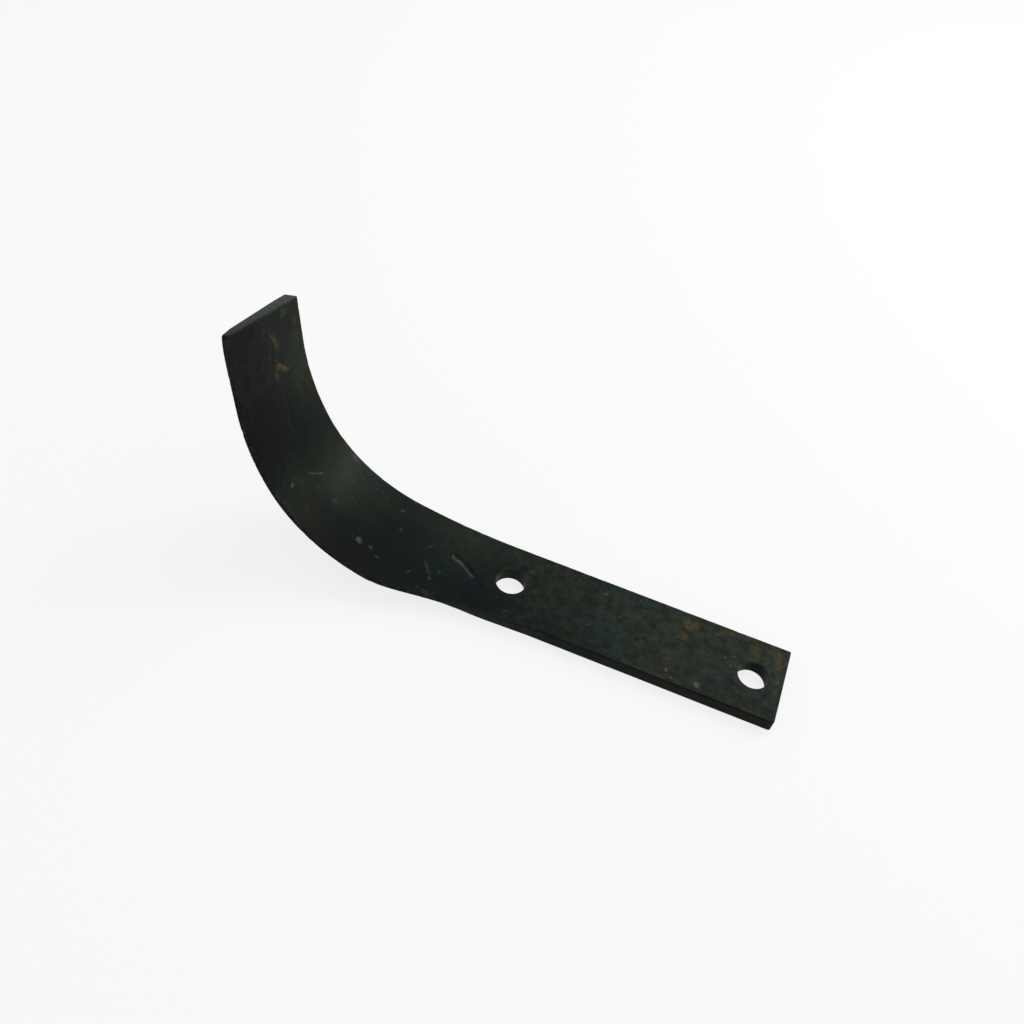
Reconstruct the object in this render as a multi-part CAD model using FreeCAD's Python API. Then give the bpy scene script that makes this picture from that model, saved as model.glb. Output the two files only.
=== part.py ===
import FreeCAD, Part
import math
import os

# Rotary tiller blade, forged in one piece from a flat bar.  Millimetres.
# Origin: midway between the two bolt holes, on the underside of the shank.
# +X runs along the shank to its mounting end, +Z is the side the blade bends to,
# -Y is the side with the cutting edge and +Y the plain back edge (the spine).

# The flat bar
BAR_WIDTH = 35.0
BAR_THICKNESS = 6.0
BAR_EDGE_ROUND = 0.5            # radius rolled on the bar's long edges

# The bolted shank
HOLE_DIAMETER = 12.0
HOLE_SPACING = 100.0
HOLE_TO_END = 12.0              # outer hole centre to the end of the bar
END_CORNER_RADIUS = 1.2         # worn corner on the cutting side of the end

# The bend, three arcs of the bar's middle plane that meet in line
HOLE_TO_BEND = 3.0              # inner hole centre to where the bar leaves the flat
LEAD_IN_RADIUS = 240.0
LEAD_IN_ANGLE = 10.6
MAIN_RADIUS = 63.0
MAIN_ANGLE = 53.0
RUN_OUT_RADIUS = 103.0
RUN_OUT_ANGLE = 20.0

# The sheared tip
HOLE_TO_TIP = 160.8             # inner hole centre to the tip, along the spine
TIP_CUT_ANGLE = 16.3            # the cutting corner leads the spine corner
TIP_CUT_LEAN = 7.0              # the sheared face leans back towards the convex side

# The side that is drawn out to the cutting edge
SWELL_TO_HOLE = 18.0            # where the side starts to swell, short of the inner hole
SWELL_LENGTH = 36.0
SWELL_WIDTH = 2.2               # how far the top edge bulges before the edge begins
THINNING_LENGTH = 60.0          # from the swell's start until the side is down to the edge
HOLE_TO_EDGE = 11.5             # inner hole centre to where the edge begins
EDGE_RUN_IN = 41.5              # length over which the edge reaches its full width
FLARE_WIDTH = 9.5               # how far the full blade stands out from the bar
TIP_WIDENING = 1.2              # further width gained on the way to the tip
TIP_SWEEP_LENGTH = 15.5         # worn stretch of the edge before the cutting corner
TIP_SWEEP_RADIUS = 48.0

# The blade's wedge section
EDGE_THICKNESS = 1.5
WORN_CORNER_THICKNESS = 2.4     # the cutting corner has worn blunt
WORN_CORNER_LENGTH = 14.0       # length over which the edge blunts towards it
EDGE_ROUND = 0.3
BEVEL_WIDTH = 7.0
HEEL_THICKNESS = 3.5            # where the bevel meets the forged taper
SPINE_FLAT_WIDTH = 7.0          # strip along the spine that keeps the full thickness
TIP_THICKNESS = 5.2             # the spine's own thickness at the tip
TIP_TAPER_LENGTH = 60.0         # length over which the spine thins to it

SECTION_STEP = 5.0              # spacing of the blade's cross-sections
CUTTER_MARGIN = 5.0             # how far cutting bodies stand clear of what they cut

V = FreeCAD.Vector
HALF_WIDTH = BAR_WIDTH / 2
HALF_THICKNESS = BAR_THICKNESS / 2

# Stations are lengths along the bar from the origin towards the tip.
END_STATION = -(HOLE_SPACING / 2 + HOLE_TO_END)
INNER_HOLE_STATION = HOLE_SPACING / 2
BEND_STATION = INNER_HOLE_STATION + HOLE_TO_BEND
EDGE_STATION = INNER_HOLE_STATION + HOLE_TO_EDGE
SWELL_STATION = INNER_HOLE_STATION - SWELL_TO_HOLE
FULL_WIDTH_STATION = EDGE_STATION + EDGE_RUN_IN
TIP_STATION = INNER_HOLE_STATION + HOLE_TO_TIP
TIP_SLOPE = math.radians(TIP_CUT_ANGLE)
TIP_LEAN = math.tan(math.radians(TIP_CUT_LEAN))
TIP_REACH = (BAR_WIDTH + FLARE_WIDTH) * math.tan(TIP_SLOPE)
CUTTING_CORNER_STATION = TIP_STATION + TIP_REACH
TAPER_STATION = CUTTING_CORNER_STATION - TIP_TAPER_LENGTH
BLUNTING_STATION = CUTTING_CORNER_STATION - WORN_CORNER_LENGTH
BEND_ARCS = (
    (LEAD_IN_RADIUS, math.radians(LEAD_IN_ANGLE)),
    (MAIN_RADIUS, math.radians(MAIN_ANGLE)),
    (RUN_OUT_RADIUS, math.radians(RUN_OUT_ANGLE)),
)


def smooth(share):
    """Blend from 0 to 1 with level ends, held outside that range."""
    share = min(max(share, 0.0), 1.0)
    return share * share * (3 - 2 * share)


def between(start, end, share):
    """Value that lies a share of the way from start to end."""
    return start + (end - start) * share


def path_frame(station):
    """Point on the middle plane at y = 0 and the bar's slope there."""
    x = -min(station, BEND_STATION)
    z = HALF_THICKNESS
    slope = 0.0
    left = max(station - BEND_STATION, 0.0)
    for radius, angle in BEND_ARCS:
        turn = min(left / radius, angle)
        x -= radius * (math.sin(slope + turn) - math.sin(slope))
        z += radius * (math.cos(slope) - math.cos(slope + turn))
        slope += turn
        left -= radius * turn
    x -= left * math.cos(slope)
    z += left * math.sin(slope)
    return V(x, 0, z), slope


def bar_point(station, y, height):
    """Point at a station, y across the bar and height above its middle plane."""
    centre, slope = path_frame(station)
    across = V(0, y, 0)
    normal = V(math.sin(slope), 0, math.cos(slope))
    return centre + across + normal * height


def edge_offset(station):
    """How far the cutting side stands out from the plain bar."""
    swell = SWELL_WIDTH * smooth((station - SWELL_STATION) / SWELL_LENGTH)
    drawn = (FLARE_WIDTH - SWELL_WIDTH) * smooth((station - EDGE_STATION) / EDGE_RUN_IN)
    past_run_in = max(station - FULL_WIDTH_STATION, 0.0)
    widening = TIP_WIDENING * past_run_in / (CUTTING_CORNER_STATION - FULL_WIDTH_STATION)
    into_sweep = max(station - (CUTTING_CORNER_STATION - TIP_SWEEP_LENGTH), 0.0)
    into_sweep = min(into_sweep, TIP_SWEEP_RADIUS)
    sweep = TIP_SWEEP_RADIUS - math.sqrt(TIP_SWEEP_RADIUS ** 2 - into_sweep ** 2)
    return swell + drawn + widening - sweep


def section(station):
    """Closed outline of the bar or blade, square to the middle plane."""
    thinning = smooth((station - SWELL_STATION) / THINNING_LENGTH)
    drawing = smooth((station - EDGE_STATION) / EDGE_RUN_IN)
    tapering = smooth((station - TAPER_STATION) / TIP_TAPER_LENGTH)
    blunting = smooth((station - BLUNTING_STATION) / WORN_CORNER_LENGTH)
    edge_y = -HALF_WIDTH - edge_offset(station)
    corner = between(BAR_EDGE_ROUND, EDGE_ROUND, thinning)
    edge_thickness = between(EDGE_THICKNESS, WORN_CORNER_THICKNESS, blunting)
    side_height = between(BAR_THICKNESS - BAR_EDGE_ROUND, edge_thickness, thinning)
    heel_y = between(-HALF_WIDTH + BAR_EDGE_ROUND, edge_y + BEVEL_WIDTH, drawing)
    heel_height = between(-HALF_THICKNESS, HALF_THICKNESS - HEEL_THICKNESS, drawing)
    low = HALF_THICKNESS - between(BAR_THICKNESS, TIP_THICKNESS, tapering)
    spine = BAR_EDGE_ROUND
    bulge = 1 - math.sqrt(0.5)

    def at(y, height):
        return bar_point(station, y, height)

    def line(start, end):
        return Part.LineSegment(start, end).toShape()

    def arc(start, middle, end):
        return Part.Arc(start, middle, end).toShape()

    top_spine = at(HALF_WIDTH - spine, HALF_THICKNESS)
    top_edge = at(edge_y + corner, HALF_THICKNESS)
    side_top = at(edge_y, HALF_THICKNESS - corner)
    side_bottom = at(edge_y, HALF_THICKNESS - side_height)
    heel = at(heel_y, heel_height)
    taper = at(HALF_WIDTH - SPINE_FLAT_WIDTH, low)
    under_spine = at(HALF_WIDTH - spine, low)
    spine_bottom = at(HALF_WIDTH, low + spine)
    spine_top = at(HALF_WIDTH, HALF_THICKNESS - spine)
    edge_round = at(edge_y + corner * bulge, HALF_THICKNESS - corner * bulge)
    lower_round = at(HALF_WIDTH - spine * bulge, low + spine * bulge)
    upper_round = at(HALF_WIDTH - spine * bulge, HALF_THICKNESS - spine * bulge)
    return Part.Wire([
        line(top_spine, top_edge),
        arc(top_edge, edge_round, side_top),
        line(side_top, side_bottom),
        line(side_bottom, heel),
        line(heel, taper),
        line(taper, under_spine),
        arc(under_spine, lower_round, spine_bottom),
        line(spine_bottom, spine_top),
        arc(spine_top, upper_round, top_spine),
    ])


def make_shank():
    """Straight bar from the mounting end to where the side starts to swell."""
    outline = Part.Face(section(SWELL_STATION))
    bar = outline.extrude(V(SWELL_STATION - END_STATION, 0, 0))
    corner_x = -END_STATION - END_CORNER_RADIUS
    corner_y = -HALF_WIDTH + END_CORNER_RADIUS
    tall = BAR_THICKNESS + 2 * CUTTER_MARGIN
    reach = END_CORNER_RADIUS + CUTTER_MARGIN
    block = Part.makeBox(reach, reach, tall, V(corner_x, corner_y - reach, -CUTTER_MARGIN))
    rounding = Part.makeCylinder(END_CORNER_RADIUS, tall, V(corner_x, corner_y, -CUTTER_MARGIN))
    return bar.cut(block.cut(rounding))


def make_stretch(start, end):
    """One straight or evenly curved stretch, lofted through sections square to it."""
    count = max(math.ceil((end - start) / SECTION_STEP), 3)
    step = (end - start) / count
    return Part.makeLoft([section(start + step * i) for i in range(count + 1)], True)


def make_blade():
    """Drawn-out part: the last of the flat, the three arcs and the straight tip."""
    stations = [SWELL_STATION, BEND_STATION]
    for radius, angle in BEND_ARCS:
        stations.append(stations[-1] + radius * angle)
    stations.append(CUTTING_CORNER_STATION + CUTTER_MARGIN)
    stretches = [make_stretch(start, end) for start, end in zip(stations, stations[1:])]
    return stretches[0].fuse(stretches[1:])


def make_tip_cutter():
    """Block whose inner face is the slanting, leaning sheared end of the blade."""
    corner = bar_point(TIP_STATION, HALF_WIDTH, HALF_THICKNESS)
    slope = path_frame(TIP_STATION)[1]
    along = V(-math.cos(slope), 0, math.sin(slope))
    across = V(0, 1, 0)
    normal = V(math.sin(slope), 0, math.cos(slope))
    cut_line = across * math.cos(TIP_SLOPE) - along * math.sin(TIP_SLOPE)
    outward = along * math.cos(TIP_SLOPE) + across * math.sin(TIP_SLOPE)
    rise = normal + outward * TIP_LEAN
    foot = corner - rise * (BAR_THICKNESS + CUTTER_MARGIN)
    depth = TIP_REACH + 2 * CUTTER_MARGIN
    start = foot + cut_line * CUTTER_MARGIN
    end = foot - cut_line * 2 * (BAR_WIDTH + FLARE_WIDTH)
    outline = Part.makePolygon([start, end, end + outward * depth, start + outward * depth, start])
    return Part.Face(outline).extrude(rise * (BAR_THICKNESS + 2 * CUTTER_MARGIN))


def make_bolt_hole(station):
    """Cylinder that pierces the shank."""
    tall = BAR_THICKNESS + 2 * CUTTER_MARGIN
    return Part.makeCylinder(HOLE_DIAMETER / 2, tall, V(-station, 0, -CUTTER_MARGIN))


blade = make_shank().fuse(make_blade())
blade = blade.cut(make_tip_cutter())
blade = blade.cut(make_bolt_hole(INNER_HOLE_STATION))
blade = blade.cut(make_bolt_hole(-INNER_HOLE_STATION))
blade = blade.removeSplitter()

os.makedirs("parts", exist_ok=True)
blade.exportStep("parts/blade.step")
box = blade.optimalBoundingBox()
print("solids", len(blade.Solids), "valid", blade.isValid())
print("volume cm3", round(blade.Volume / 1000, 2), "mass kg", round(blade.Volume * 7.85e-6, 3))
print("box", [round(value, 1) for value in (box.XMin, box.XMax, box.YMin, box.YMax, box.ZMin, box.ZMax)])
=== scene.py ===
import math

import bmesh
import bpy
import numpy as np
from mathutils import Matrix, Vector, noise


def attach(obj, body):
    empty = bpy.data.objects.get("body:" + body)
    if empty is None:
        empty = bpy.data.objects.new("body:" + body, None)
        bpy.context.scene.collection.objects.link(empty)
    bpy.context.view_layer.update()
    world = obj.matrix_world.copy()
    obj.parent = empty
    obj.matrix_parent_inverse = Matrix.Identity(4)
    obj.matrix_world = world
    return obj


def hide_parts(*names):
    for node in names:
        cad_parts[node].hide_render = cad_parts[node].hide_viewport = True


# Rotary tiller blade.  Lengths here are millimetres in the bar's own coordinates:
# station along the bar from midway between the holes towards the tip, y across it
# (cutting edge at -y, spine at +y) and height above the middle plane, + on the
# side the blade bends to.  They become metres only when the mesh is made.

MM = 0.001
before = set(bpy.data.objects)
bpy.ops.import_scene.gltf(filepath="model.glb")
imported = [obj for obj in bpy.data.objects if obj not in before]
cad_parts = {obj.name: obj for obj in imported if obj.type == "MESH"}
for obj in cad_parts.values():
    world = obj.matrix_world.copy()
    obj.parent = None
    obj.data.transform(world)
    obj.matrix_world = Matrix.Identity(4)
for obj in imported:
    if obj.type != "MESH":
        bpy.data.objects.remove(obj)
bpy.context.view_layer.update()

# The bar and blade, as the solid has them
HALF_WIDTH = 17.5
HALF_THICKNESS = 3.0
BAR_EDGE_ROUND = 0.5
HOLE_RADIUS = 6.0
HOLE_STATIONS = (-50.0, 50.0)
END_STATION = -62.0
END_CORNER_RADIUS = 1.2
BEND_STATION = 53.0
BEND_ARCS = ((240.0, math.radians(10.6)), (63.0, math.radians(53.0)), (103.0, math.radians(20.0)))
SWELL_STATION = 32.0
SWELL_LENGTH = 36.0
SWELL_WIDTH = 2.2
THINNING_LENGTH = 60.0
EDGE_STATION = 61.5
EDGE_RUN_IN = 41.5
FULL_WIDTH_STATION = EDGE_STATION + EDGE_RUN_IN
FLARE_WIDTH = 9.5
EDGE_THICKNESS = 1.5
BEVEL_WIDTH = 7.0
HEEL_THICKNESS = 3.5
SPINE_FLAT_WIDTH = 7.0

# The sheared tip, its taper and the edge's blunted end
TIP_STATION = 210.8
TIP_CUT_ANGLE = math.radians(16.3)
TIP_SLOPE = math.tan(TIP_CUT_ANGLE)
TIP_LEAN = math.tan(math.radians(7.0)) / math.cos(TIP_CUT_ANGLE)
CUTTING_CORNER_STATION = TIP_STATION + (2 * HALF_WIDTH + FLARE_WIDTH) * TIP_SLOPE
TIP_WIDENING = 1.2
TIP_SWEEP_LENGTH = 15.5
TIP_SWEEP_RADIUS = 48.0
TIP_THICKNESS = 5.2
TIP_TAPER_LENGTH = 60.0
BLUNT_THICKNESS = 2.4
BLUNT_LENGTH = 14.0

# The sheared end's worn upper corner: its length along the bar at points across the tip,
# how steeply it falls, and its raggedness as the amount, scale and seed of each noise
WORN_CORNER_Y = (-26.0, -20.0, -14.0, -4.0, 2.0, 7.0, 12.0, 17.5)
WORN_CORNER_LENGTH = (0.4, 1.5, 2.1, 2.9, 2.5, 1.1, 0.7, 0.5)
WORN_CORNER_FALL = 0.33
WORN_CORNER_RAGGED = ((0.75, 2.6, 11), (0.45, 0.9, 12))
WORN_CORNER_LEAST = 0.3

# Radii that the visual model adds to the solid's sharp edges
CUTTING_EDGE_ROUND = 0.3
LOWER_EDGE_ROUND = 0.2
LOWER_EDGE_STATION = 70.0
END_ROUND = 0.4
CUTTING_CORNER_ROUND = 1.0
TIP_ROUND = 0.3
TIP_LOWER_ROUND = 0.2
RIM_ROUND = 0.2
LOWER_RIM_ROUND = 0.15

# Mesh spacing
CELL = 0.62
LAYER_CELL = 0.75
ROUND_STEPS = (0.0, 0.14, 0.29, 0.45, 0.68)
COLUMN_WIDTH = 40.0
TIP_ZONE_STATION = 186.0
TIP_ZONE_LENGTH = 30.0
TIP_ZONE_GUESS = 24.0
SETTLING_PASSES = 6
HOLE_BLOCK = 9.2
RIM_TURNS = (0.0, 30.0, 60.0, 90.0)
WALL_RINGS = 8
FACE_RINGS = 8
SMALL = 1e-9

# How far each step of a noise's seed shifts it along x, y and z
SEED_SHIFT = (17.3, 5.1, 9.7)


def smooth(value):
    """Blend from 0 to 1 with level ends, held outside that range."""
    value = np.clip(value, 0.0, 1.0)
    return value * value * (3 - 2 * value)


def between(start, end, share):
    """Value that lies a share of the way from start to end."""
    return start + (end - start) * share


def edge_y(station):
    """Where the cutting side lies at a station."""
    swell = SWELL_WIDTH * smooth((station - SWELL_STATION) / SWELL_LENGTH)
    drawn = (FLARE_WIDTH - SWELL_WIDTH) * smooth((station - EDGE_STATION) / EDGE_RUN_IN)
    past = np.maximum(station - FULL_WIDTH_STATION, 0.0)
    widening = TIP_WIDENING * past / (CUTTING_CORNER_STATION - FULL_WIDTH_STATION)
    into = np.clip(station - (CUTTING_CORNER_STATION - TIP_SWEEP_LENGTH), 0.0, TIP_SWEEP_RADIUS)
    sweep = TIP_SWEEP_RADIUS - np.sqrt(TIP_SWEEP_RADIUS ** 2 - into ** 2)
    return -HALF_WIDTH - swell - drawn - widening + sweep


def bottom_height(station, y):
    """Height of the convex side: flat by the spine, then a taper, then the bevel."""
    thinning = smooth((station - SWELL_STATION) / THINNING_LENGTH)
    drawing = smooth((station - EDGE_STATION) / EDGE_RUN_IN)
    tapering = smooth((station - CUTTING_CORNER_STATION + TIP_TAPER_LENGTH) / TIP_TAPER_LENGTH)
    blunting = smooth((station - CUTTING_CORNER_STATION + BLUNT_LENGTH) / BLUNT_LENGTH)
    edge = edge_y(station)
    edge_thickness = between(EDGE_THICKNESS, BLUNT_THICKNESS, blunting)
    side = HALF_THICKNESS - between(2 * HALF_THICKNESS - BAR_EDGE_ROUND, edge_thickness, thinning)
    heel_y = between(-HALF_WIDTH + BAR_EDGE_ROUND, edge + BEVEL_WIDTH, drawing)
    heel = between(-HALF_THICKNESS, HALF_THICKNESS - HEEL_THICKNESS, drawing)
    flat = HALF_THICKNESS - between(2 * HALF_THICKNESS, TIP_THICKNESS, tapering)
    taper_y = HALF_WIDTH - SPINE_FLAT_WIDTH
    on_taper = between(flat, heel, np.clip((taper_y - y) / (taper_y - heel_y), 0, 1))
    on_bevel = between(heel, side, np.clip((heel_y - y) / (heel_y - edge), 0, 1))
    return np.where(y < heel_y, on_bevel, on_taper)


def tip_station(y, height=HALF_THICKNESS):
    """Station of the slanting, leaning sheared end."""
    return TIP_STATION + (HALF_WIDTH - y) * TIP_SLOPE + (height - HALF_THICKNESS) * TIP_LEAN


def field(scale, seed, points):
    """Smooth noise from -1 to 1 at points, with features about scale mm across."""
    shift = Vector([seed * step for step in SEED_SHIFT])
    values = [noise.noise(Vector(point) / scale + shift) for point in points.reshape(-1, 3)]
    return np.array(values).reshape(points.shape[:-1])


def worn_corner(y):
    """Length along the bar of the sheared end's worn upper corner."""
    across = np.stack([y, np.zeros_like(y), np.zeros_like(y)], axis=-1)
    ragged = sum(amount * field(scale, seed, across) for amount, scale, seed in WORN_CORNER_RAGGED)
    length = np.interp(-y, -np.array(WORN_CORNER_Y), WORN_CORNER_LENGTH)
    return np.maximum(length + ragged, WORN_CORNER_LEAST)


def top_height(station, y):
    """Height of the concave side, which falls only at the worn corner of the tip."""
    into = np.maximum(worn_corner(y) - (tip_station(y) - station), 0.0)
    return HALF_THICKNESS - WORN_CORNER_FALL * into


def bar_to_space(station, y, height):
    """Points in the row frame, in millimetres."""
    x = -np.minimum(station, BEND_STATION)
    z = np.full_like(x, HALF_THICKNESS)
    slope = np.zeros_like(x)
    left = np.maximum(station - BEND_STATION, 0.0)
    for radius, angle in BEND_ARCS:
        turn = np.minimum(left / radius, angle)
        x = x - radius * (np.sin(slope + turn) - np.sin(slope))
        z = z + radius * (np.cos(slope) - np.cos(slope + turn))
        slope = slope + turn
        left = left - radius * turn
    x = x - left * np.cos(slope) + height * np.sin(slope)
    z = z + left * np.sin(slope) + height * np.cos(slope)
    return np.stack([x, y, z], axis=-1)


def spaced(length, cell, head=ROUND_STEPS, tail=ROUND_STEPS):
    """Distances from 0 to length, close together near both ends."""
    inner = length - head[-1] - tail[-1]
    count = max(round(inner / cell), 1)
    middle = head[-1] + inner * np.arange(1, count) / count
    return np.concatenate([head, middle, length - np.array(tail[::-1])])


def rounded(first, second, radius):
    """Distances from two faces that meet, moved so that the edge between them is round."""
    p = np.maximum(radius - first, 0.0)
    q = np.maximum(radius - second, 0.0)
    both = (p > 0) & (q > 0)
    scale = np.maximum(p, q) / np.maximum(np.hypot(p, q), SMALL)
    return np.where(both, radius - p * scale, first), np.where(both, radius - q * scale, second)


class Blade:
    """Collects the vertices in bar coordinates and the faces between them."""

    def __init__(self):
        self.places = []
        self.faces = []

    def add(self, station, y, height):
        """Adds a vertex and gives its number."""
        self.places.append((station, y, height))
        return len(self.places) - 1


# Lattice of the whole bar: rows along it, columns across it, layers through it
rows = END_STATION + spaced(TIP_ZONE_STATION - END_STATION, CELL, tail=(0.0, CELL))
tip_shares = spaced(TIP_ZONE_LENGTH, CELL, head=(0.0, CELL))[1:] / TIP_ZONE_LENGTH
column_count = len(spaced(COLUMN_WIDTH, CELL))
layer_shares = spaced(2 * HALF_THICKNESS, LAYER_CELL) / (2 * HALF_THICKNESS)
head_columns = np.array(ROUND_STEPS)


def column_distances(width):
    """Distances from the spine for every column, for an array of widths."""
    inner = width - 2 * head_columns[-1]
    count = column_count - 2 * len(head_columns) + 1
    middle = head_columns[-1] + inner[..., None] * np.arange(1, count) / count
    head = np.broadcast_to(head_columns, width.shape + (len(head_columns),))
    tail = width[..., None] - head_columns[::-1]
    return np.concatenate([head, middle, tail], axis=-1)


row_count = len(rows) + len(tip_shares)
station = np.zeros((row_count, column_count))
station[: len(rows)] = rows[:, None]
y = np.zeros_like(station)
y[: len(rows)] = HALF_WIDTH - column_distances(HALF_WIDTH - edge_y(rows))
for i, share in enumerate(tip_shares, start=len(rows)):
    line = np.full(column_count, TIP_ZONE_STATION + TIP_ZONE_GUESS * share)
    for _ in range(SETTLING_PASSES):
        widths = HALF_WIDTH - edge_y(line)
        y[i] = HALF_WIDTH - np.diagonal(column_distances(widths))
        line = between(TIP_ZONE_STATION, tip_station(y[i]), share)
    station[i] = line

# The same lattice through the thickness, with the tip's last rows leaning like its face
leaning = np.zeros((row_count, 1, 1))
leaning[len(rows) :, 0, 0] = tip_shares
low = bottom_height(station, y)[:, :, None]
lean = (low + (HALF_THICKNESS - low) * layer_shares - HALF_THICKNESS) * TIP_LEAN * leaning
station_through = station[:, :, None] + lean
width_share = (HALF_WIDTH - edge_y(station_through)) / (HALF_WIDTH - edge_y(station))[:, :, None]
y_through = HALF_WIDTH - (HALF_WIDTH - y[:, :, None]) * width_share
low = bottom_height(station_through, y_through)
top = top_height(station, y)[:, :, None]
height_through = low + (top - low) * layer_shares

# Each face: the coordinate that it bounds, which way is inwards and where it lies
FACES = {
    "edge": ("y", 1, lambda at: edge_y(at.station)),
    "spine": ("y", -1, lambda at: HALF_WIDTH),
    "top": ("height", -1, lambda at: at.top),
    "low": ("height", 1, lambda at: bottom_height(at.station, at.y)),
    "underside": ("height", 1, lambda at: -HALF_THICKNESS),
    "end": ("station", 1, lambda at: END_STATION),
    "tip": ("station", -1, lambda at: tip_station(at.y, at.height)),
}


class Lattice:
    """Bar coordinates of the lattice's points, with the height of the upper face at each."""

    def __init__(self, station, y, height, top):
        self.station = station
        self.y = y
        self.height = height
        self.top = top

    def distance(self, face):
        """Distance of every point inwards from a face."""
        coordinate, inwards, place_of = FACES[face]
        return inwards * (getattr(self, coordinate) - place_of(self))

    def put(self, face, distance):
        """Moves every point to a distance inwards from a face."""
        coordinate, inwards, place_of = FACES[face]
        setattr(self, coordinate, place_of(self) + inwards * distance)

    def round_edge(self, first, second, radius):
        """Rounds the edge where two faces meet."""
        moved = rounded(self.distance(first), self.distance(second), radius)
        self.put(first, moved[0])
        self.put(second, moved[1])


lattice = Lattice(station_through, y_through, height_through, top)
thinning = smooth((station_through - SWELL_STATION) / THINNING_LENGTH)
lattice.round_edge("edge", "top", between(BAR_EDGE_ROUND, CUTTING_EDGE_ROUND, thinning))
lattice.round_edge("spine", "top", BAR_EDGE_ROUND)
lattice.round_edge("spine", "low", BAR_EDGE_ROUND)
lattice.round_edge("end", "edge", END_CORNER_RADIUS)
lattice.round_edge("end", "top", END_ROUND)
lattice.round_edge("end", "underside", END_ROUND)
lattice.round_edge("edge", "low", LOWER_EDGE_ROUND * (lattice.station > LOWER_EDGE_STATION))
lattice.round_edge("tip", "edge", CUTTING_CORNER_ROUND)
lattice.round_edge("tip", "top", TIP_ROUND)
lattice.round_edge("tip", "low", TIP_LOWER_ROUND)
lattice.round_edge("tip", "spine", TIP_ROUND)

blade = Blade()
index = np.full(lattice.station.shape, -1)
last_row, last_column, last_layer = (n - 1 for n in index.shape)


def hole_block(centre):
    """First and last row and column of the lattice block that a hole's own mesh fills."""
    block_rows = np.where(np.abs(rows - centre) < HOLE_BLOCK)[0]
    block_columns = np.where(np.abs(y[block_rows[len(block_rows) // 2]]) < HOLE_BLOCK)[0]
    return block_rows[0], block_rows[-1], block_columns[0], block_columns[-1]


inside_block = np.zeros(station.shape, bool)
for centre in HOLE_STATIONS:
    first_row, final_row, first_column, final_column = hole_block(centre)
    inside_block[first_row : final_row + 1, first_column : final_column + 1] = True

for i, j, k in np.ndindex(index.shape):
    on_face = i in (0, last_row) or j in (0, last_column) or k in (0, last_layer)
    if on_face and not inside_block[i, j]:
        index[i, j, k] = blade.add(lattice.station[i, j, k], lattice.y[i, j, k], lattice.height[i, j, k])


def add_quads(grid, flip):
    """Faces over a 2-D array of vertex numbers, skipping any with a missing corner."""
    for a in range(grid.shape[0] - 1):
        for b in range(grid.shape[1] - 1):
            quad = [grid[a, b], grid[a + 1, b], grid[a + 1, b + 1], grid[a, b + 1]]
            if min(quad) < 0:
                continue
            blade.faces.append(quad[::-1] if flip else quad)


add_quads(index[:, :, last_layer], False)
add_quads(index[:, :, 0], True)
add_quads(index[:, 0, :], True)
add_quads(index[:, last_column, :], False)
add_quads(index[0], False)
add_quads(index[last_row], True)


def block_border(centre):
    """Lattice points just round a hole's block, in order."""
    first_row, final_row, first_column, final_column = hole_block(centre)
    top, bottom = first_row - 1, final_row + 1
    left, right = first_column - 1, final_column + 1
    border = [(top, j) for j in range(left, right)]
    border += [(i, right) for i in range(top, bottom)]
    border += [(bottom, j) for j in range(right, left, -1)]
    border += [(i, left) for i in range(bottom, top, -1)]
    return border


def add_hole(centre):
    """Rings of faces from the block's border over the rim and down through the bar."""
    border = block_border(centre)
    outer = np.array([(station[i, j] - centre, y[i, j]) for i, j in border])
    reach = np.hypot(outer[:, 0], outer[:, 1])
    direction = outer / reach[:, None]
    profile = []
    for turn in RIM_TURNS:
        spread = RIM_ROUND * (1 - math.sin(math.radians(turn)))
        drop = RIM_ROUND * (1 - math.cos(math.radians(turn)))
        profile.append((HOLE_RADIUS + spread, HALF_THICKNESS - drop))
    wall_steel_and_sheen = np.linspace(HALF_THICKNESS - RIM_ROUND, LOWER_RIM_ROUND - HALF_THICKNESS, WALL_RINGS)
    profile += [(HOLE_RADIUS, height) for height in wall_steel_and_sheen[1:]]
    for turn in RIM_TURNS[-2::-1]:
        spread = LOWER_RIM_ROUND * (1 - math.sin(math.radians(turn)))
        drop = LOWER_RIM_ROUND * (1 - math.cos(math.radians(turn)))
        profile.append((HOLE_RADIUS + spread, drop - HALF_THICKNESS))

    def ring(distance, height):
        points = direction * np.broadcast_to(distance, reach.shape)[:, None]
        return [blade.add(centre + along, across, height) for along, across in points]

    def flat_rings(inner, height, shares):
        return [ring(between(inner, reach, share), height) for share in shares]

    shares = np.linspace(0.0, 1.0, FACE_RINGS)[1:-1]
    rings = [[index[i, j, last_layer] for i, j in border]]
    rings += flat_rings(profile[0][0], HALF_THICKNESS, shares[::-1])
    rings += [ring(distance, height) for distance, height in profile]
    rings += flat_rings(profile[-1][0], -HALF_THICKNESS, shares)
    rings.append([index[i, j, 0] for i, j in border])
    for upper, lower in zip(rings, rings[1:]):
        for n in range(len(border)):
            m = (n + 1) % len(border)
            blade.faces.append([upper[n], lower[n], lower[m], upper[m]])


for centre in HOLE_STATIONS:
    add_hole(centre)

places = np.array(blade.places)
mesh = bpy.data.meshes.new("forged_blade")
mesh.from_pydata((bar_to_space(*places.T) * MM).tolist(), [], blade.faces)
facing = bmesh.new()
facing.from_mesh(mesh)
bmesh.ops.recalc_face_normals(facing, faces=facing.faces)
facing.to_mesh(mesh)
facing.free()
mesh.update()
blade_piece = bpy.data.objects.new("forged_blade", mesh)
bpy.context.scene.collection.objects.link(blade_piece)

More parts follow.
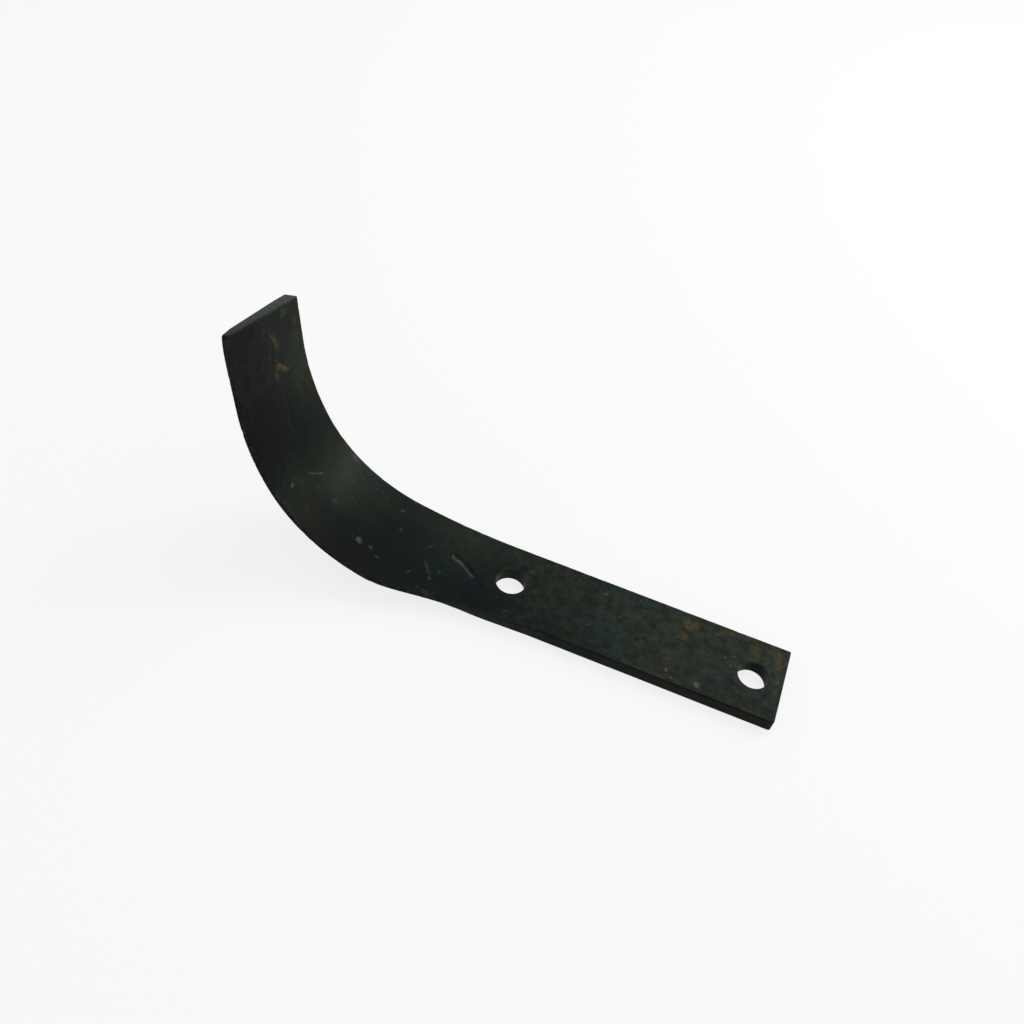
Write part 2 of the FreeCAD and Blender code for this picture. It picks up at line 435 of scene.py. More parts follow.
# Marks: station, y, half length, half width, turn in degrees from the bar's length, strength
RUST = (
    (-21.7, 12.0, 3.6, 2.4, -10, 1.0),
    (-20.3, 5.5, 2.8, 2.2, 0, 0.55),
    (-36.5, 15.0, 3.0, 1.3, -15, 0.6),
    (-33.5, 13.2, 1.8, 1.2, -20, 0.7),
    (-57.6, 11.5, 1.4, 3.6, 0, 0.85),
    (-58.6, 7.5, 1.0, 2.0, 0, 0.5),
    (-48.0, 11.5, 2.6, 3.6, 0, 0.45),
    (-53.0, 15.0, 4.0, 1.8, 0, 0.35),
    (-59.2, 1.5, 1.3, 2.4, 0, 0.7),
    (-59.8, -3.0, 1.0, 2.4, 0, 0.6),
    (-57.6, -10.5, 1.4, 1.0, -20, 0.4),
    (191.4, 6.9, 2.2, 1.1, 10, 0.35),
    (192.2, -1.0, 2.0, 1.6, -30, 0.6),
    (205.2, -1.8, 2.4, 0.9, -15, 0.7),
)
OLIVE = (
    (-16.5, 9.5, 2.2, 1.8, -20, 0.75),
    (-35.5, 7.0, 1.8, 0.9, -15, 0.45),
    (-4.6, 4.0, 1.4, 1.4, 0, 0.45),
    (8.8, 9.2, 1.4, 2.2, 10, 0.5),
    (22.8, 10.4, 2.8, 2.6, 0, 0.35),
    (39.5, -0.6, 1.8, 1.5, 30, 0.5),
    (53.6, 5.4, 1.8, 1.0, -25, 0.45),
    (78.8, -20.8, 1.4, 1.7, 0, 0.7),
    (137.5, -19.0, 2.2, 1.2, 0, 0.35),
    (142.0, -15.5, 2.6, 1.6, -40, 0.4),
    (188.6, 2.4, 3.4, 2.2, -40, 0.45),
    (189.2, -2.8, 2.6, 1.5, 0, 0.7),
    (195.5, 13.2, 5.5, 1.6, 3, 0.5),
    (203.0, -0.8, 4.2, 1.9, -8, 0.7),
    (203.0, 13.6, 2.6, 1.6, 0, 0.6),
    (208.6, -2.6, 2.6, 1.1, -10, 0.55),
    (210.6, 7.4, 2.6, 2.6, 10, 0.55),
)
PALE_SPOTS_AND_GLINTS = (
    (-30.8, -14.1, 1.0, 1.1, 0, 0.9),
    (-18.2, -12.2, 0.7, 1.0, 0, 0.8),
    (-21.0, -15.0, 0.8, 0.7, 0, 0.8),
    (-38.2, 3.2, 0.7, 0.9, 0, 0.6),
    (-41.2, 5.0, 0.6, 0.7, 0, 0.5),
    (-41.0, 0.2, 0.5, 0.9, 0, 0.45),
    (-27.2, 8.2, 0.6, 0.8, 0, 0.45),
    (5.2, 2.7, 1.0, 1.0, 0, 0.45),
    (-1.5, 5.7, 1.0, 0.6, 20, 0.4),
    (13.5, 11.2, 1.6, 0.9, -20, 0.45),
    (28.0, 13.7, 0.8, 0.6, 0, 0.4),
    (30.0, 9.5, 0.7, 0.7, 0, 0.35),
    (33.7, 9.7, 0.6, 0.6, 0, 0.35),
    (44.0, 8.5, 1.2, 1.6, 0, 0.35),
    (15.7, -6.0, 0.4, 1.2, 10, 0.5),
    (47.0, -14.2, 2.0, 1.0, -10, 0.35),
    (77.5, -9.5, 0.9, 1.5, 0, 0.4),
    (79.6, -14.0, 0.6, 0.8, 0, 0.6),
    (87.7, -15.5, 0.6, 1.2, 0, 0.5),
    (82.3, -20.2, 0.6, 0.8, 0, 0.5),
    (102.7, 9.5, 1.2, 1.0, 0, 0.5),
    (105.0, 4.2, 0.7, 0.7, 0, 0.4),
    (99.0, 1.0, 1.0, 0.8, 20, 0.45),
    (98.0, -7.8, 0.6, 1.0, 0, 0.35),
    (106.2, -13.8, 1.3, 1.3, 0, 0.5),
    (111.6, -14.3, 1.4, 1.4, 0, 0.6),
    (115.0, -14.6, 0.9, 0.8, 0, 0.45),
    (102.0, -16.0, 1.3, 0.8, 20, 0.4),
    (117.0, 11.0, 0.6, 0.8, 0, 0.5),
    (111.5, 11.0, 1.0, 1.0, 0, 0.3),
    (129.0, -7.0, 1.8, 2.0, 0, 0.3),
    (138.5, -8.5, 0.8, 1.5, 0, 0.3),
    # painted highlight on the bend, by the edge
    (148.5, -17.5, 0.9, 0.9, 0, 0.7),
    # painted highlight on the bend, by the spine
    (132.5, 15.3, 3.5, 1.1, 0, 0.5),
    (211.3, -5.6, 1.6, 0.5, -30, 0.35),
)
# Pits are sunk into the surface and coloured dark; their darkness is partly the marks' own and partly
# painted shade in their hollows
PITS = (
    (-29.5, 6.7, 1.0, 1.1, 0, 0.7),
    (-3.8, 11.2, 1.6, 0.5, -25, 0.8),
    (0.3, 11.5, 0.8, 1.0, 0, 0.6),
    (1.6, 13.0, 1.4, 0.4, -35, 0.6),
    (-8.2, 4.3, 1.0, 0.5, -10, 0.9),
    (-6.0, -2.0, 0.6, 1.2, 0, 0.7),
    (-3.8, -3.8, 1.3, 0.6, -20, 0.9),
    (-13.0, 1.1, 1.8, 0.4, -25, 0.6),
    (25.0, 8.6, 1.8, 0.9, 25, 0.5),
    (30.7, 2.2, 0.6, 0.7, 0, 0.6),
    (102.6, 8.2, 0.8, 0.5, 0, 0.6),
    (119.8, 0.0, 1.2, 0.9, 0, 0.6),
    (126.5, 2.2, 1.0, 0.4, -35, 0.6),
    (103.8, -14.8, 0.8, 1.2, 0, 0.6),
    (114.0, -13.2, 0.5, 0.9, 0, 0.6),
    (144.4, -7.0, 2.4, 0.4, -50, 0.5),
    (165.2, -3.1, 1.6, 0.8, 10, 0.5),
    (194.6, -0.6, 1.8, 0.7, -40, 0.6),
    (192.6, -14.0, 1.0, 0.5, -40, 0.5),
)
# Drawn marks: half width, strength, then the (station, y) points they pass through
RUST_LINES = (
    (0.8, 0.9, ((187.6, 4.4), (188.8, 2.6), (190.8, 0.9), (193.4, -1.6))),
    (0.6, 0.9, ((203.0, -1.2), (204.8, -1.6), (206.6, -2.0))),
    (0.5, 0.45, ((188.4, 5.8), (190.6, 7.3), (193.4, 6.9))),
)
PALE_LINES = (
    (0.4, 0.5, ((199.0, -5.2), (202.4, -6.0))),
    (0.4, 0.4, ((198.4, -11.2), (203.0, -10.8))),
    (0.35, 0.4, ((208.6, -6.6), (212.6, -6.2))),
    (0.35, 0.5, ((212.6, 6.2), (209.4, 5.8))),
    (0.35, 0.45, ((213.2, 9.4), (209.6, 9.0))),
    (0.6, 0.7, ((76.0, 0.6), (72.6, -0.8), (68.6, -2.4), (64.6, -5.3))),
    (0.45, 0.5, ((84.5, -7.2), (82.2, -10.2), (80.0, -12.6))),
    (0.4, 0.6, ((140.2, -2.2), (143.0, -5.4), (145.4, -8.0))),
    (0.45, 0.45, ((83.8, 0.8), (86.4, -1.0))),
)
DARK_LINES = (
    (0.7, 0.85, ((75.0, 2.0), (70.0, 0.2), (66.0, -2.6), (63.4, -5.0), (59.6, -8.6))),
    (0.9, 0.5, ((188.4, -5.6), (190.4, -10.0), (192.6, -13.6))),
    (0.9, 0.55, ((180.0, -0.9), (173.0, -1.6), (165.0, -3.2))),
    (0.4, 0.8, ((208.0, -3.4), (204.6, -3.0), (201.4, -2.4))),
    (0.35, 0.7, ((206.8, -0.6), (203.4, 0.2))),
    (0.4, 0.6, ((186.6, 2.2), (188.2, 0.6), (191.0, -1.6))),
)
# Broad stains in the scale, and painted sheen over the bend (the lighter patches at stations 131, 135 and
# 149): station, y, half length, half width, then how they change the colour
TINTS_AND_SHEEN = (
    (-56.0, -6.0, 4.0, 3.0, (1.15, 0.96, 1.10)),
    (-33.5, 10.0, 2.0, 2.0, (0.85, 1.00, 1.20)),
    (-15.0, -12.0, 2.4, 3.0, (1.14, 0.95, 1.12)),
    (-5.0, -9.0, 6.0, 4.0, (0.95, 1.05, 0.95)),
    (36.0, 10.0, 3.5, 3.0, (0.75, 0.88, 0.88)),
    (45.0, 7.0, 3.0, 2.5, (0.80, 0.90, 0.90)),
    (64.5, -8.0, 4.0, 4.0, (1.25, 1.15, 1.55)),
    (63.0, -14.5, 5.0, 2.2, (0.80, 0.85, 0.95)),
    (74.5, -12.0, 2.5, 2.5, (0.75, 0.90, 0.88)),
    (83.5, -16.0, 6.0, 4.5, (0.70, 0.92, 1.00)),
    (107.0, 7.5, 2.6, 2.1, (0.85, 1.35, 1.25)),
    (107.0, -3.5, 9.0, 5.5, (0.72, 0.98, 0.92)),
    (117.0, -22.0, 11.0, 4.0, (1.10, 0.95, 0.80)),
    (129.0, -7.0, 2.0, 2.2, (1.10, 1.35, 1.45)),
    (130.5, -15.5, 4.0, 3.0, (0.85, 1.10, 1.35)),
    # painted sheen: the satin highlight over the bend, in two patches
    (131.0, 7.0, 6.0, 4.5, (1.18, 1.15, 1.12)),
    (135.0, -1.0, 3.5, 2.5, (1.15, 1.12, 1.08)),
    # painted sheen where the bend's highlight reaches the edge
    (149.0, -13.5, 4.0, 3.0, (1.35, 1.30, 1.30)),
    (178.0, 7.0, 6.0, 4.5, (0.95, 1.12, 1.12)),
    (200.0, 1.8, 5.0, 1.8, (1.30, 1.12, 0.95)),
    (197.5, -8.5, 3.5, 3.0, (1.35, 1.18, 1.00)),
    (215.5, -15.0, 4.0, 3.5, (0.95, 1.10, 1.35)),
    (207.0, -14.0, 5.0, 3.5, (0.95, 1.05, 1.30)),
    (192.0, 0.0, 30.0, 40.0, (0.84, 0.86, 0.70)),
)

# The marks fade out below the concave face, and their outlines wander
CONCAVE_FADE = 1.2
WANDER = 0.9
WANDER_SCALE = 2.4
WANDER_SEEDS = (31, 32)
on_concave = smooth((places[:, 2] - CONCAVE_FADE) / CONCAVE_FADE)
wander = np.stack([field(WANDER_SCALE, seed, places) for seed in WANDER_SEEDS], axis=-1)
uneven_places = places[:, :2] + WANDER * wander


def spots(marks):
    """Strength of the marks at every vertex of the concave face."""
    total = np.zeros(len(places))
    for at, across, length, width, turn, strength in marks:
        along_bar, over_bar = uneven_places[:, 0] - at, uneven_places[:, 1] - across
        cosine, sine = math.cos(math.radians(turn)), math.sin(math.radians(turn))
        u = (along_bar * cosine + over_bar * sine) / length
        v = (over_bar * cosine - along_bar * sine) / width
        total = np.maximum(total, strength * np.exp(-((u * u + v * v) ** 1.5)))
    return total * on_concave


def lines(marks):
    """Strength of the drawn marks at every vertex of the concave face."""
    total = np.zeros(len(places))
    for width, strength, points in marks:
        for start, end in zip(points, points[1:]):
            step = np.subtract(end, start)
            offset = uneven_places - start
            share = np.clip(offset @ step / (step @ step), 0, 1)
            gap = np.linalg.norm(offset - share[:, None] * step, axis=1)
            total = np.maximum(total, strength * np.exp(-((gap / width) ** 2)))
    return total * on_concave


def near(at, across, length, width):
    """Soft round patch about a point of the concave face."""
    u, v = (places[:, 0] - at) / length, (places[:, 1] - across) / width
    return np.exp(-u * u - v * v) * on_concave


rust = np.maximum(spots(RUST), lines(RUST_LINES))
olive = spots(OLIVE)
pale = np.maximum(spots(PALE_SPOTS_AND_GLINTS), lines(PALE_LINES))
pits_and_shade = np.maximum(spots(PITS), lines(DARK_LINES))

# Forged surface: gentle waves, scale, pits and nicked edges, all cut into the solid's form.
# Noise is given as depth, scale and seed, or as scale and seed.
RELIEF = ((0.035, 24, 1), (0.02, 6, 2), (0.012, 1.8, 3))
NICKS = (2.4, 5)
NICK_THRESHOLD = 0.05
NICK_RANGE = 0.5
LONG_EDGE_REACH = 0.7
LONG_EDGE_DEPTH = 0.10
CUTTING_REACH = 0.8
CUTTING_RUN_IN = 20
CUTTING_DEPTH = 0.16
PIT_DEPTH = 0.25
RUST_GRAIN = (1.2, 6)
RUST_DEPTH = 0.04
PALE_HEIGHT = 0.04
HOLE_MARGIN = 0.5
from_tip = tip_station(places[:, 1], places[:, 2]) - places[:, 0]
from_edge = places[:, 1] - edge_y(places[:, 0])
from_spine = HALF_WIDTH - places[:, 1]
from_top = np.abs(HALF_THICKNESS - places[:, 2])
long_edge = np.exp(-(np.minimum(from_edge, from_spine) + from_top) / LONG_EDGE_REACH)
cutting = smooth((places[:, 0] - EDGE_STATION) / CUTTING_RUN_IN) * np.exp(-from_edge / CUTTING_REACH)
nicks = smooth((field(*NICKS, places) - NICK_THRESHOLD) / NICK_RANGE)
sunk = sum(depth * (1 + field(scale, seed, places)) for depth, scale, seed in RELIEF)
sunk += LONG_EDGE_DEPTH * long_edge * nicks + CUTTING_DEPTH * cutting * nicks
sunk += PIT_DEPTH * pits_and_shade + RUST_DEPTH * rust * field(*RUST_GRAIN, places) - PALE_HEIGHT * pale
in_hole = np.zeros(len(places))
for centre in HOLE_STATIONS:
    distance = np.hypot(places[:, 0] - centre, places[:, 1])
    in_hole = np.maximum(in_hole, smooth((HOLE_RADIUS + HOLE_MARGIN - distance) / HOLE_MARGIN))
sunk = np.maximum(sunk, 0.0) * (1 - in_hole)

normals = np.empty(len(places) * 3)
mesh.vertex_normals.foreach_get("vector", normals)
points = bar_to_space(*places.T) - sunk[:, None] * normals.reshape(-1, 3)
mesh.vertices.foreach_set("co", (points * MM).astype(np.float32).ravel())
mesh.update()
mesh.polygons.foreach_set("use_smooth", [True] * len(mesh.polygons))

# Bright steel: the sheared end with its worn corner, the blunted edge and the bolt holes, whose walls also
# carry painted sheen
SHEARED_REACH = 0.3
WORN_CORNER_FADE = 0.6
EDGE_FACE = 0.5
EDGE_FADE = 0.3
BLUNTED_STATION = 196
BLUNTED_RUN_IN = 16
WALL_LEAST = 0.25
BARE_Y = (-26, -18, -8, 6, 17.5)
BARE_LEVELS = (0.50, 0.62, 0.80, 1.0, 1.15)
BARE_COLOUR = np.array((0.033, 0.043, 0.034))
BLUNTED_SHARE = 0.8
WALL_SHARE = 0.6
worn = worn_corner(places[:, 1]) * (places[:, 0] > TIP_ZONE_STATION)
sheared = np.exp(-np.maximum(from_tip, 0) / SHEARED_REACH)
worn_top = smooth((worn - from_tip) / WORN_CORNER_FADE + WORN_CORNER_FADE) * on_concave
bare = np.maximum(sheared, worn_top)
on_edge = smooth((EDGE_FACE - from_edge) / EDGE_FADE) * (1 - bare)
blunted = on_edge * smooth((places[:, 0] - BLUNTED_STATION) / BLUNTED_RUN_IN)
# Painted sheen on the hole walls: their bare steel is lightest where a wall faces along the bar and least
# across it
around = np.arctan2(places[:, 1], np.abs(np.abs(places[:, 0]) - HOLE_STATIONS[1]))
wall_steel_and_sheen = in_hole * between(WALL_LEAST, 1.0, np.cos(around) ** 2)
bare_level = np.interp(places[:, 1], BARE_Y, BARE_LEVELS)
bare_share = np.maximum(np.maximum(bare, BLUNTED_SHARE * blunted), WALL_SHARE * wall_steel_and_sheen)[:, None]

# Broad level of the scale's colour: station, then its level by the spine, in the middle and by the edge.
# Besides the scale's own tone it holds painted light: a painted sheen in the bright band over the bend at
# station 132 and by the edge near station 146, and the shank's lightening towards its end is partly painted
# sheen.
TONES_AND_SHEEN = (
    # partly painted sheen: the lighter shank end
    (-60, 1.60, 1.35, 1.15),
    (-38, 1.35, 1.20, 1.10),
    (-18, 1.20, 1.25, 1.25),
    (2, 1.25, 1.15, 1.00),
    (22, 0.90, 0.95, 0.70),
    (42, 1.05, 0.80, 0.65),
    (56, 0.90, 0.60, 0.42),
    (64, 1.05, 0.60, 0.34),
    (74, 1.15, 0.80, 0.46),
    (90, 0.80, 0.52, 0.38),
    (104, 0.60, 0.36, 0.28),
    (120, 1.10, 0.76, 0.30),
    # painted sheen across the bend
    (132, 1.50, 1.25, 0.38),
    # painted sheen by the edge, below the bend
    (146, 0.80, 0.70, 0.80),
    (160, 0.60, 0.36, 0.38),
    (172, 0.88, 0.42, 0.22),
    (182, 1.25, 0.40, 0.10),
    (192, 0.75, 0.50, 0.05),
    (202, 0.50, 0.38, 0.04),
    (214, 0.50, 0.38, 0.05),
)
SHADE_REACH = 14
SHADE_LEVEL = 0.020
shade_stations, *shade_columns = zip(*TONES_AND_SHEEN)
by_spine, by_middle, by_edge = (np.interp(places[:, 0], shade_stations, column) for column in shade_columns)
towards_spine = smooth(places[:, 1] / SHADE_REACH)
towards_edge = smooth(-places[:, 1] / SHADE_REACH)
shade = by_middle + (by_spine - by_middle) * towards_spine + (by_edge - by_middle) * towards_edge

# The sides, the underside and the convex face get a level that changes along the bar, with a dark band
# under the top edge
SIDE_STATIONS = (-60, 20, 60, 90)
SIDE_LEVELS = (0.42, 0.6, 1.1, 0.5)
BAND_HEIGHT = 2.1
BAND_WIDTH = 0.35
BAND_WANDER = 0.35
BAND_NOISE = (7, 22)
BAND_STRENGTH = 0.6
SIDE_REACH = 0.7
SIDE_FADE = 0.5
side_shade = np.interp(places[:, 0], SIDE_STATIONS, SIDE_LEVELS)
off_band = places[:, 2] - BAND_HEIGHT + BAND_WANDER * field(*BAND_NOISE, places)
side_shade = side_shade * (1 - BAND_STRENGTH * np.exp(-((off_band / BAND_WIDTH) ** 2)))
on_side = np.maximum(smooth((SIDE_REACH - from_edge) / SIDE_FADE), 1 - on_concave)
shade = between(shade, side_shade, on_side)

# Light and dark specks beside the cutting edge and, near the tip, beside the spine
SPECKS = (0.8, 21)
SPECK_STRENGTH = 1.8
SPECK_CONTRAST = 3
SPECK_LIMITS = (-0.45, 1.2)
EDGE_SPECKS_STATION = 62
EDGE_SPECKS_RUN_IN = 20
EDGE_SPECKS_REACH = 1.0
SPINE_SPECKS_STATION = 150
SPINE_SPECKS_RUN_IN = 30
SPINE_SPECKS_REACH = 0.8
SPINE_SPECKS_SHARE = 0.6
near_edge = np.exp(-from_edge / EDGE_SPECKS_REACH)
near_edge = near_edge * smooth((places[:, 0] - EDGE_SPECKS_STATION) / EDGE_SPECKS_RUN_IN)
near_spine = SPINE_SPECKS_SHARE * np.exp(-from_spine / SPINE_SPECKS_REACH)
near_spine = near_spine * smooth((places[:, 0] - SPINE_SPECKS_STATION) / SPINE_SPECKS_RUN_IN)
specks = np.clip(field(*SPECKS, places) * SPECK_CONTRAST, *SPECK_LIMITS)
shade = shade * (1 + SPECK_STRENGTH * np.maximum(near_edge, near_spine) * specks)

# Hue: grey-green scale, bluer on the cutting side of the bend, with the broad stains and the painted sheen
# over it
PLAIN_HUE = np.array((0.75, 1.0, 0.76))
BLUE_HUE = np.array((0.50, 1.0, 1.00))
BLUE_PATCH = (84, -9, 30, 13)
hue = PLAIN_HUE + (BLUE_HUE - PLAIN_HUE) * near(*BLUE_PATCH)[:, None]
scale_and_sheen_colour = hue * shade[:, None] * SHADE_LEVEL
for *patch, change in TINTS_AND_SHEEN:
    scale_and_sheen_colour = scale_and_sheen_colour * (1 + near(*patch)[:, None] * (np.array(change) - 1))
scale_and_sheen_colour = between(scale_and_sheen_colour, BARE_COLOUR * bare_level[:, None], bare_share)

# How streaky and how busy the fine texture is, on the shank and then on the blade
STREAKY = (0.25, 1.0)
STREAKY_STATION = 150
STREAKY_RUN_IN = 40
BUSY = (0.9, 0.45)
BUSY_STATION = 40
BUSY_RUN_IN = 25
streaky = between(*STREAKY, smooth((places[:, 0] - STREAKY_STATION) / STREAKY_RUN_IN) * (1 - bare))
busy = between(*BUSY, smooth((places[:, 0] - BUSY_STATION) / BUSY_RUN_IN))


def store(name, values):
    """Keeps a number or a vector for every vertex, for the material to read."""
    kind, key = ("FLOAT", "value") if values.ndim == 1 else ("FLOAT_VECTOR", "vector")
    mesh.attributes.new(name, kind, "POINT").data.foreach_set(key, values.astype(np.float32).ravel())


store("bar_place", places * MM)
store("rust", rust)
store("olive", olive)
store("pale", pale)
store("pits_and_shade", pits_and_shade)
store("streaky", streaky)
store("busy", busy)
store("scale_and_sheen_colour", scale_and_sheen_colour)

# Forge scale, with the marks over it in their own colours
SPECULAR_LEVEL = 0.04
BLACK_SCALE = (0.0040, 0.0055, 0.0048)
OLIVE_COLOUR = (0.028, 0.034, 0.013)
DARK_RUST = (0.045, 0.042, 0.018)
LIGHT_RUST = (0.085, 0.058, 0.030)
PALE_COLOUR = (0.072, 0.080, 0.062)
PIT_AND_SHADE_COLOUR = (0.0035, 0.0060, 0.0045)
OLIVE_SHARE = 0.85
RUST_SHARE = 0.9
PIT_SHARE = 0.85
STREAK_STRETCH = (0.16, 1.0, 1.0)
SCALE_ROUGHNESS = (0.40, 0.52)
RUST_ROUGHNESS = 0.3
BUMP_STRENGTH = 0.35
BUMP_DISTANCE = 0.0002
material = bpy.data.materials.new("forge_scale")
material.use_nodes = True
tree = material.node_tree
shader = tree.nodes["Principled BSDF"]
shader.inputs["Specular IOR Level"].default_value = SPECULAR_LEVEL


def make(kind, settings=None, **inputs):
    """Adds a node. Each input is a value or another node's socket."""
    made = tree.nodes.new("ShaderNode" + kind)
    for name, value in (settings or {}).items():
        setattr(made, name, value)
    for name, value in inputs.items():
        key = int(name[1:]) if name[0] == "i" and name[1:].isdigit() else name
        if isinstance(value, bpy.types.NodeSocket):
            tree.links.new(value, made.inputs[key])
        else:
            made.inputs[key].default_value = value
    return made


def read(name, output="Fac"):
    """A number, or with "Color" or "Vector" a vector, that the mesh stores."""
    return make("Attribute", {"attribute_name": name}).outputs[output]


def calculate(operation, first, second):
    """Result of a sum on two numbers or sockets."""
    return make("Math", {"operation": operation}, i0=first, i1=second).outputs[0]


def pattern(vector, scale, detail, roughness=0.55):
    """Noise about 0.5, with features that get finer as the scale goes up."""
    made = make("TexNoise", Vector=vector, Scale=scale, Detail=detail, Roughness=roughness)
    return made.outputs["Fac"]


def remap(value, low, high, to_low=0.0, to_high=1.0):
    """Smooth step from to_low to to_high as the value goes from low to high."""
    made = make("MapRange", {"interpolation_type": "SMOOTHSTEP"}, Value=value)
    limits = {"From Min": low, "From Max": high, "To Min": to_low, "To Max": to_high}
    for name, limit in limits.items():
        made.inputs[name].default_value = limit
    return made.outputs["Result"]


def blend(share, first, second, kind="MIX"):
    """Mixes or multiplies two colours, each a tuple or another node's socket."""
    made = make("Mix", {"data_type": "RGBA", "blend_type": kind}, i0=share)
    for socket, value in ((made.inputs[6], first), (made.inputs[7], second)):
        if isinstance(value, tuple):
            socket.default_value = value + (1,)
        else:
            tree.links.new(value, socket)
    return made.outputs[2]


def patchy(strength, noise_value):
    """Share of a mark's own colour, broken up by noise."""
    uneven = calculate("ADD", calculate("MULTIPLY", noise_value, 1.3), 0.35)
    return remap(calculate("MULTIPLY", strength, uneven), 0.1, 0.8)


place = read("bar_place", "Vector")
drawn = make("VectorMath", {"operation": "MULTIPLY"}, i0=place, i1=STREAK_STRETCH).outputs[0]
cloud = pattern(place, scale=55.0, detail=3.0)
fleck = pattern(place, scale=190.0, detail=4.0)
blotch = pattern(place, scale=260.0, detail=5.0, roughness=0.6)
grain = pattern(place, scale=1300.0, detail=3.0, roughness=0.6)
rust_noise = pattern(place, scale=520.0, detail=6.0, roughness=0.7)
streak = pattern(drawn, scale=900.0, detail=3.0, roughness=0.6)

# What multiplies the colour: its share, its noise, where that starts and ends, the tint at each
VARIATIONS = (
    (1.0, cloud, 0.38, 0.62, (1.04, 1.0, 0.93), (0.88, 1.0, 1.05)),
    (1.0, fleck, 0.36, 0.64, (1.10, 1.0, 0.84), (0.88, 1.0, 1.12)),
    (read("busy"), blotch, 0.32, 0.68, (0.50, 0.51, 0.53), (1.52, 1.50, 1.46)),
    (read("busy"), grain, 0.32, 0.68, (0.72, 0.73, 0.74), (1.30, 1.28, 1.25)),
    (read("streaky"), streak, 0.32, 0.68, (0.70, 0.72, 0.72), (1.32, 1.30, 1.28)),
)
colour = read("scale_and_sheen_colour", "Color")
for share, noise_value, low, high, low_tint, high_tint in VARIATIONS:
    tint = blend(remap(noise_value, low, high), low_tint, high_tint)
    colour = blend(share, colour, tint, "MULTIPLY")
colour = blend(remap(grain, 0.25, 0.5, 0.4, 0.0), colour, BLACK_SCALE)

# Olive, rust, pale and pitted marks; the pale marks include painted highlights on the bend, and the pits'
# darkness is partly painted shade
olive_share = calculate("MULTIPLY", patchy(read("olive"), fleck), OLIVE_SHARE)
colour = blend(olive_share, colour, OLIVE_COLOUR)
rust_share = patchy(read("rust"), rust_noise)
rust_colour = blend(remap(rust_noise, 0.4, 0.62), DARK_RUST, LIGHT_RUST)
colour = blend(calculate("MULTIPLY", rust_share, RUST_SHARE), colour, rust_colour)
colour = blend(patchy(read("pale"), grain), colour, PALE_COLOUR)
# The pits' dark colour is partly painted shade, the shade their hollows would hold
pit_share = calculate("MULTIPLY", patchy(read("pits_and_shade"), grain), PIT_SHARE)
colour = blend(pit_share, colour, PIT_AND_SHADE_COLOUR)
tree.links.new(colour, shader.inputs["Base Color"])

# Rust is rougher than scale, and both have a fine relief
roughness = remap(blotch, 0.3, 0.7, *SCALE_ROUGHNESS)
roughness = calculate("ADD", roughness, calculate("MULTIPLY", rust_share, RUST_ROUGHNESS))
tree.links.new(roughness, shader.inputs["Roughness"])
relief = calculate("ADD", calculate("MULTIPLY", blotch, 0.6), calculate("MULTIPLY", grain, 0.25))
bump = make("Bump", Strength=BUMP_STRENGTH, Distance=BUMP_DISTANCE, Height=relief)
tree.links.new(bump.outputs["Normal"], shader.inputs["Normal"])
mesh.materials.append(material)

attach(blade_piece, "root")
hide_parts("blade")

# Camera: above the cutting side, looking down along the shank towards the blade
CAMERA_PLACE = Vector((0.48, -251.38, 338.19))
CAMERA_RIGHT = Vector((0.92621, 0.35437, 0.12865))
CAMERA_DOWN = Vector((0.34903, -0.67704, -0.64792))
CAMERA_FORWARD = Vector((-0.14251, 0.64501, -0.75077))
camera_data = bpy.data.cameras.new("camera")
camera_data.sensor_width = 36.0
camera_data.lens = 37.2
camera_data.clip_start = 0.01
camera = bpy.data.objects.new("camera", camera_data)
bpy.context.scene.collection.objects.link(camera)
rotation = Matrix((CAMERA_RIGHT, -CAMERA_DOWN, -CAMERA_FORWARD)).transposed().to_4x4()
camera.matrix_world = Matrix.Translation(CAMERA_PLACE * MM) @ rotation
bpy.context.scene.camera = camera

# Floor
FLOOR_REACH = 4.0
FLOOR_COLOUR = (0.9, 0.9, 0.9, 1)
FLOOR_ROUGHNESS = 0.9
FLOOR_GLOW = 0.8
floor_mesh = bpy.data.meshes.new("floor")
corners = [(-1, -1), (1, -1), (1, 1), (-1, 1)]
floor_mesh.from_pydata([(a * FLOOR_REACH, b * FLOOR_REACH, 0) for a, b in corners], [], [(0, 1, 2, 3)])
floor = bpy.data.objects.new("floor", floor_mesh)
bpy.context.scene.collection.objects.link(floor)


def background_seen(tree):
    """1 where the camera, a reflection or glass looks at the background."""
    path = tree.nodes.new("ShaderNodeLightPath")
    seen = path.outputs["Is Camera Ray"]
    for name in ("Is Glossy Ray", "Is Transmission Ray"):
        either = tree.nodes.new("ShaderNodeMath")
        either.operation = "MAXIMUM"
        tree.links.new(seen, either.inputs[0])
        tree.links.new(path.outputs[name], either.inputs[1])
        seen = either.outputs[0]
    return seen


def mixed(tree, share, first, second):
    """Mixes two shaders."""
    made = tree.nodes.new("ShaderNodeMixShader")
    tree.links.new(share, made.inputs[0])
    tree.links.new(first, made.inputs[1])
    tree.links.new(second, made.inputs[2])
    return made.outputs[0]


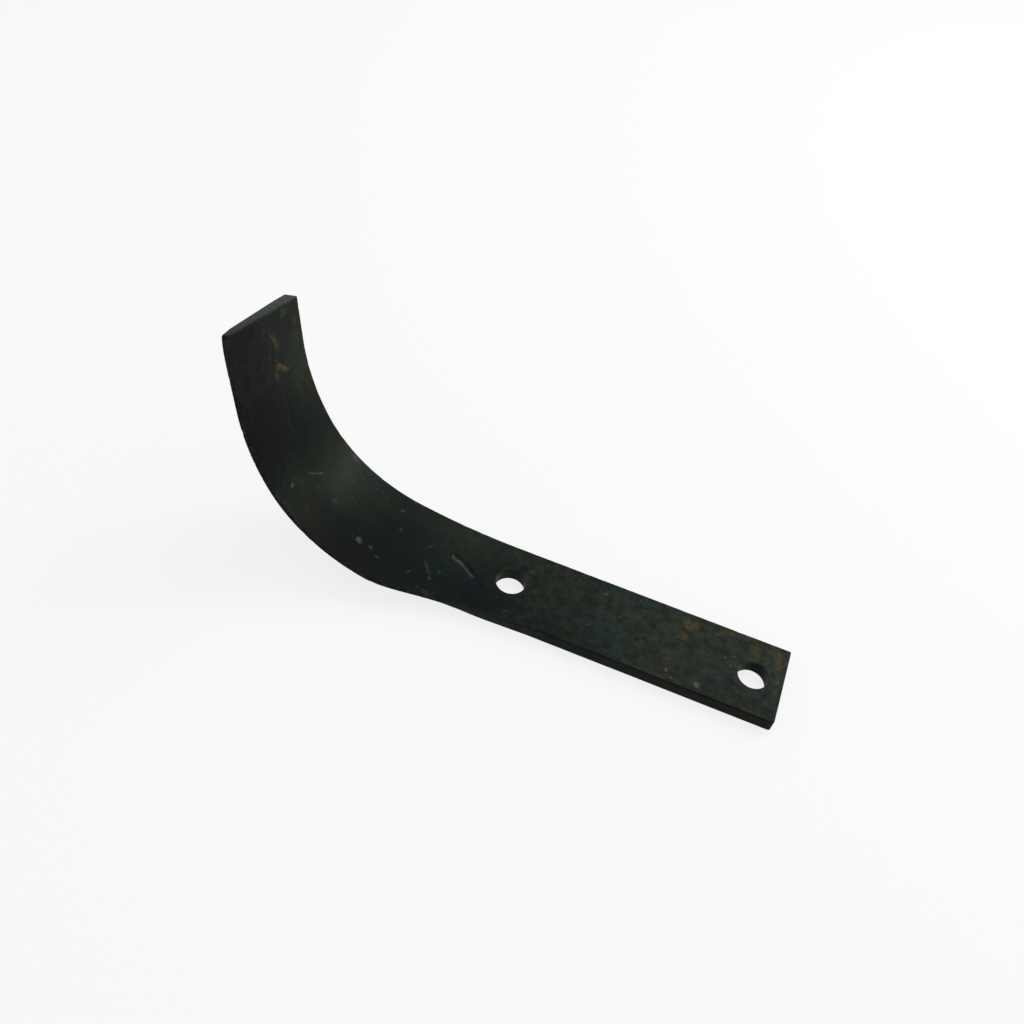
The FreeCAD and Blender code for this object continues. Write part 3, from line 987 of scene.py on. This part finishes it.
floor_material = bpy.data.materials.new("floor")
floor_material.use_nodes = True
floor_tree = floor_material.node_tree
floor_shader = floor_tree.nodes["Principled BSDF"]
floor_shader.inputs["Base Color"].default_value = FLOOR_COLOUR
floor_shader.inputs["Roughness"].default_value = FLOOR_ROUGHNESS
floor_glow = floor_tree.nodes.new("ShaderNodeEmission")
floor_share = floor_tree.nodes.new("ShaderNodeMath")
floor_share.operation = "MULTIPLY"
floor_share.inputs[1].default_value = FLOOR_GLOW
floor_tree.links.new(background_seen(floor_tree), floor_share.inputs[0])
floor_surface = mixed(floor_tree, floor_share.outputs[0], floor_shader.outputs[0], floor_glow.outputs[0])
floor_tree.links.new(floor_surface, floor_tree.nodes["Material Output"].inputs["Surface"])
floor_mesh.materials.append(floor_material)

# Studio light
AMBIENT_STRENGTH = 0.55
BLADE_MIDDLE = Vector((-0.05, 0.0, 0.03))
world = bpy.data.worlds.new("studio")
bpy.context.scene.world = world
world.use_nodes = True
world_tree = world.node_tree
ambient = world_tree.nodes["Background"]
ambient.inputs["Color"].default_value = (1, 1, 1, 1)
ambient.inputs["Strength"].default_value = AMBIENT_STRENGTH
white = world_tree.nodes.new("ShaderNodeBackground")
white.inputs["Strength"].default_value = 1.0
world_surface = mixed(world_tree, background_seen(world_tree), ambient.outputs[0], white.outputs[0])
world_tree.links.new(world_surface, world_tree.nodes["World Output"].inputs["Surface"])


def softbox(name, azimuth, elevation, distance, width, height, radiance):
    """Rectangular lamp that looks at the middle of the blade."""
    lamp = bpy.data.lights.new(name, "AREA")
    lamp.shape = "RECTANGLE"
    lamp.size = width
    lamp.size_y = height
    lamp.energy = radiance * math.pi * width * height
    made = bpy.data.objects.new(name, lamp)
    bpy.context.scene.collection.objects.link(made)
    turn, rise = math.radians(azimuth), math.radians(elevation)
    towards = Vector((math.cos(rise) * math.cos(turn), math.cos(rise) * math.sin(turn), math.sin(rise)))
    made.location = BLADE_MIDDLE + towards * distance
    made.rotation_euler = towards.to_track_quat("Z", "Y").to_euler()


softbox("key", azimuth=70, elevation=55, distance=1.2, width=0.7, height=0.5, radiance=3.5)
softbox("strip", azimuth=46, elevation=21, distance=0.9, width=0.08, height=0.30, radiance=30.0)
bpy.context.scene.view_settings.view_transform = "Standard"
